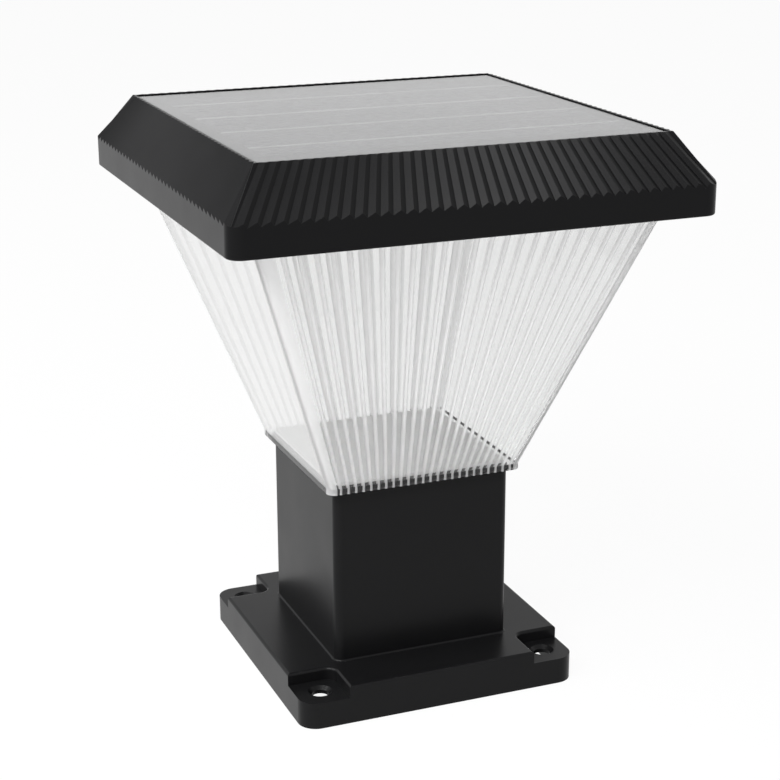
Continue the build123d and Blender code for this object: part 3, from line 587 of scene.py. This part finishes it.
class PILLAR_OT_panel(PieceOperator, bpy.types.Operator):
    """Give the solar panel its cover, cells, ribbons and back"""

    bl_idname = "pillar.panel"
    bl_label = "Solar Panel"

    def execute(self, context):
        panel = context.scene.pillar_panel
        switch = context.scene.pillar_switch
        power = context.scene.pillar_power
        wear("panel_cover", clear_cover(panel))
        wear("panel_cells", silicon(panel))
        wear("panel_ribbons", ribbon(panel))
        wear("panel_backsheet", plain("Back Sheet", panel.sheet_colour))
        wear("panel_adhesive", rubber("Panel Adhesive", switch.rubber))
        wear("panel_junction", plain("Junction Plastic", panel.sheet_colour))
        wear("panel_leads", two_leads("Panel Leads", power, "Y", LEADS_MIDDLE))
        return {"FINISHED"}


class PILLAR_OT_light_unit(PieceOperator, bpy.types.Operator):
    """Give the white tray, the LED board and the LEDs their looks"""

    bl_idname = "pillar.light_unit"
    bl_label = "Light Unit"

    def execute(self, context):
        unit = context.scene.pillar_unit
        switch = context.scene.pillar_switch
        power = context.scene.pillar_power
        wear("led_tray", plain("Tray Plastic", unit.white))
        pads = toned(unit.board, 0.88)
        wear("led_board", circuit("LED Board", unit.board, pads, LED_TRACK_PITCH))
        wear("led_chips", led_face(unit))
        steel = screw_steel("Light Unit Steel", switch)
        wear("tray_screws", steel)
        wear("led_screws", steel)
        wear("led_leads", two_leads("LED Leads", power, "X", 0.0))
        return {"FINISHED"}


class PILLAR_OT_power(PieceOperator, bpy.types.Operator):
    """Give the battery, the control board and their leads their looks"""

    bl_idname = "pillar.power"
    bl_label = "Battery and Board"

    def execute(self, context):
        power = context.scene.pillar_power
        black = context.scene.pillar_black
        unit = context.scene.pillar_unit
        switch = context.scene.pillar_switch
        wear("battery_cells", sleeve(power))
        wear("battery_holder", plain("Holder Plastic", black.colour))
        nickel = metal("Contact Nickel", CONTACT_NICKEL, roughness=0.2, brush=0.002)
        wear("battery_contacts", nickel)
        wear("battery_pads", rubber("Foam Pads", toned(switch.rubber, 2)))
        wear("battery_leads", two_leads("Battery Leads", power, "Y", LEADS_MIDDLE))
        wear("control_board", circuit("Control Board", power.mask, power.copper, power.track_pitch))
        wear("board_screws", screw_steel("Board Screw Steel", switch))
        wear("lead_sockets", plain("Socket Nylon", toned(unit.white, 0.95)))
        wear("controller_chip", plain("Chip Resin", CHIP_RESIN))
        wear("inductor", plain("Ferrite", FERRITE))
        wear("capacitor", metal("Capacitor Can", CAPACITOR_CAN, roughness=0.3, brush=0.003))
        return {"FINISHED"}


class PILLAR_OT_switch(PieceOperator, bpy.types.Operator):
    """Give the push switch, its bezel, seal and leads their looks"""

    bl_idname = "pillar.switch"
    bl_label = "Switch"

    def execute(self, context):
        switch = context.scene.pillar_switch
        black = context.scene.pillar_black
        power = context.scene.pillar_power
        case = plain("Switch Plastic", toned(black.colour, 1.5))
        wear("switch_body", case)
        wear("switch_bezel", case)
        wear("switch_seal", rubber("Switch Seal Rubber", switch.rubber))
        wear("switch_button", plain("Button Plastic", switch.button))
        wear("switch_leads", two_leads("Switch Leads", power, "Y", SWITCH_LEADS_MIDDLE))
        return {"FINISHED"}


def seen_plainly(look):
    """1 for camera, mirror and see-through rays, and 0 for scattered ones."""
    path = look.add("ShaderNodeLightPath")
    seen = look.math("MAXIMUM", path.outputs["Is Camera Ray"], path.outputs["Is Glossy Ray"])
    return look.math("MAXIMUM", seen, path.outputs["Is Transmission Ray"])


def floor_material(stage):
    """Floor that shows mostly white, keeps a soft shadow and is clear from below."""
    look = Shades("Studio Floor")
    look.set(Base_Color=(*stage.floor_colour, 1), Roughness=0.9, Specular_IOR_Level=0.0)
    white = look.add("ShaderNodeEmission")
    blend = look.add("ShaderNodeMixShader")
    share = look.math("MULTIPLY", seen_plainly(look), stage.floor_shine)
    look.join(share, blend.inputs["Fac"])
    look.join(look.shader.outputs["BSDF"], blend.inputs[1])
    look.join(white.outputs["Emission"], blend.inputs[2])
    below = look.add("ShaderNodeMixShader")
    look.join(look.add("ShaderNodeNewGeometry").outputs["Backfacing"], below.inputs["Fac"])
    look.join(blend.outputs["Shader"], below.inputs[1])
    look.join(look.add("ShaderNodeBsdfTransparent").outputs["BSDF"], below.inputs[2])
    look.join(below.outputs["Shader"], look.output.inputs["Surface"])
    return look.material


def area_lamp(context, name, power, place, aim, side):
    """Square lamp that points at its aim."""
    data = bpy.data.lights.new(name, "AREA")
    data.shape = "RECTANGLE"
    data.size = data.size_y = side
    data.energy = power
    lamp = bpy.data.objects.new(name, data)
    lamp.location = place
    ray = Vector(aim) - Vector(place)
    lamp.rotation_euler = ray.to_track_quat("-Z", "Y").to_euler()
    context.scene.collection.objects.link(lamp)


def camera_basis(stage):
    """Level, right, up and back directions of the camera."""
    turn, lift, roll = stage.azimuth, stage.elevation, stage.roll
    level = Vector((math.cos(turn), math.sin(turn), 0))
    back = Vector(
        (math.sin(turn) * math.cos(lift), -math.cos(turn) * math.cos(lift), math.sin(lift))
    )
    rise = back.cross(level)
    right = level * math.cos(roll) + rise * math.sin(roll)
    return level, right, back.cross(right), back


class PILLAR_OT_stage(PieceOperator, bpy.types.Operator):
    """Make the floor, the soft light and the camera"""

    bl_idname = "pillar.stage"
    bl_label = "Studio"

    def execute(self, context):
        stage = context.scene.pillar_stage
        self.make_floor(context, stage)
        self.make_light(context, stage)
        self.make_camera(context, stage)
        context.scene.view_settings.view_transform = "Standard"
        return {"FINISHED"}

    def make_floor(self, context, stage):
        half = stage.floor_side / 2
        outline = ((-half, -half), (half, -half), (half, half), (-half, half))
        mesh = bpy.data.meshes.new("Studio Floor")
        mesh.from_pydata([(x, y, FLOOR_LEVEL) for x, y in outline], [], [(0, 1, 2, 3)])
        mesh.materials.append(floor_material(stage))
        floor = bpy.data.objects.new("studio_floor", mesh)
        context.scene.collection.objects.link(floor)

    def make_light(self, context, stage):
        world = bpy.data.worlds.new("Studio Sky")
        context.scene.world = world
        world.use_nodes = True
        tree = world.node_tree
        tree.nodes.clear()
        path = tree.nodes.new("ShaderNodeLightPath")
        glossy = tree.nodes.new("ShaderNodeMath")
        clear = tree.nodes.new("ShaderNodeMath")
        glossy.operation = clear.operation = "MAXIMUM"
        white = tree.nodes.new("ShaderNodeBackground")
        soft = tree.nodes.new("ShaderNodeBackground")
        soft.inputs["Strength"].default_value = stage.sky
        for sky in (white, soft):
            sky.inputs["Color"].default_value = (1, 1, 1, 1)
        blend = tree.nodes.new("ShaderNodeMixShader")
        output = tree.nodes.new("ShaderNodeOutputWorld")
        for source, target in (
            (path.outputs["Is Camera Ray"], glossy.inputs[0]),
            (path.outputs["Is Glossy Ray"], glossy.inputs[1]),
            (glossy.outputs[0], clear.inputs[0]),
            (path.outputs["Is Transmission Ray"], clear.inputs[1]),
            (clear.outputs[0], blend.inputs["Fac"]),
            (soft.outputs["Background"], blend.inputs[1]),
            (white.outputs["Background"], blend.inputs[2]),
            (blend.outputs["Shader"], output.inputs["Surface"]),
        ):
            tree.links.new(source, target)
        for name, power, place, aim, side in LAMPS:
            area_lamp(context, name, getattr(stage, power), place, aim, side)

    def make_camera(self, context, stage):
        level, right, up, back = camera_basis(stage)
        data = bpy.data.cameras.new("Studio Camera")
        data.sensor_width = SENSOR_WIDTH
        data.lens = stage.focal_length
        data.clip_start, data.clip_end = CAMERA_RANGE
        camera = bpy.data.objects.new("Studio Camera", data)
        target = Vector((0, 0, stage.target_height)) + level * stage.target_side
        place = target + back * stage.distance
        facing = Matrix((right, up, back)).transposed().to_4x4()
        camera.matrix_world = Matrix.Translation(place) @ facing
        context.scene.collection.objects.link(camera)
        context.scene.camera = camera


PIECES = (
    ("pillar_black", BlackPlasticSettings),
    ("pillar_lens", LensSettings),
    ("pillar_panel", PanelSettings),
    ("pillar_unit", LightUnitSettings),
    ("pillar_power", PowerSettings),
    ("pillar_switch", SwitchSettings),
    ("pillar_stage", StageSettings),
)

OPERATORS = (
    PILLAR_OT_pedestal,
    PILLAR_OT_lens,
    PILLAR_OT_cap,
    PILLAR_OT_panel,
    PILLAR_OT_light_unit,
    PILLAR_OT_power,
    PILLAR_OT_switch,
    PILLAR_OT_stage,
)


class PILLAR_PT_panel(bpy.types.Panel):
    """Lists the light's pieces and their settings"""

    bl_label = "Solar Pillar Light"
    bl_idname = "PILLAR_PT_panel"
    bl_space_type = "VIEW_3D"
    bl_region_type = "UI"
    bl_category = "Pillar Light"

    def draw(self, context):
        layout = self.layout
        for operator in OPERATORS:
            layout.operator(operator.bl_idname)
        for name, settings in PIECES:
            box = layout.box()
            group = getattr(context.scene, name)
            for key in settings.__annotations__:
                box.prop(group, key)


def register():
    for name, settings in PIECES:
        bpy.utils.register_class(settings)
        setattr(bpy.types.Scene, name, PointerProperty(type=settings))
    for operator in OPERATORS:
        bpy.utils.register_class(operator)
    bpy.utils.register_class(PILLAR_PT_panel)


def unregister():
    bpy.utils.unregister_class(PILLAR_PT_panel)
    for operator in reversed(OPERATORS):
        bpy.utils.unregister_class(operator)
    for name, settings in reversed(PIECES):
        delattr(bpy.types.Scene, name)
        bpy.utils.unregister_class(settings)


def main():
    register()
    for operator in OPERATORS:
        group, name = operator.bl_idname.split(".")
        getattr(getattr(bpy.ops, group), name)()


if __name__ == "__main__":
    main()
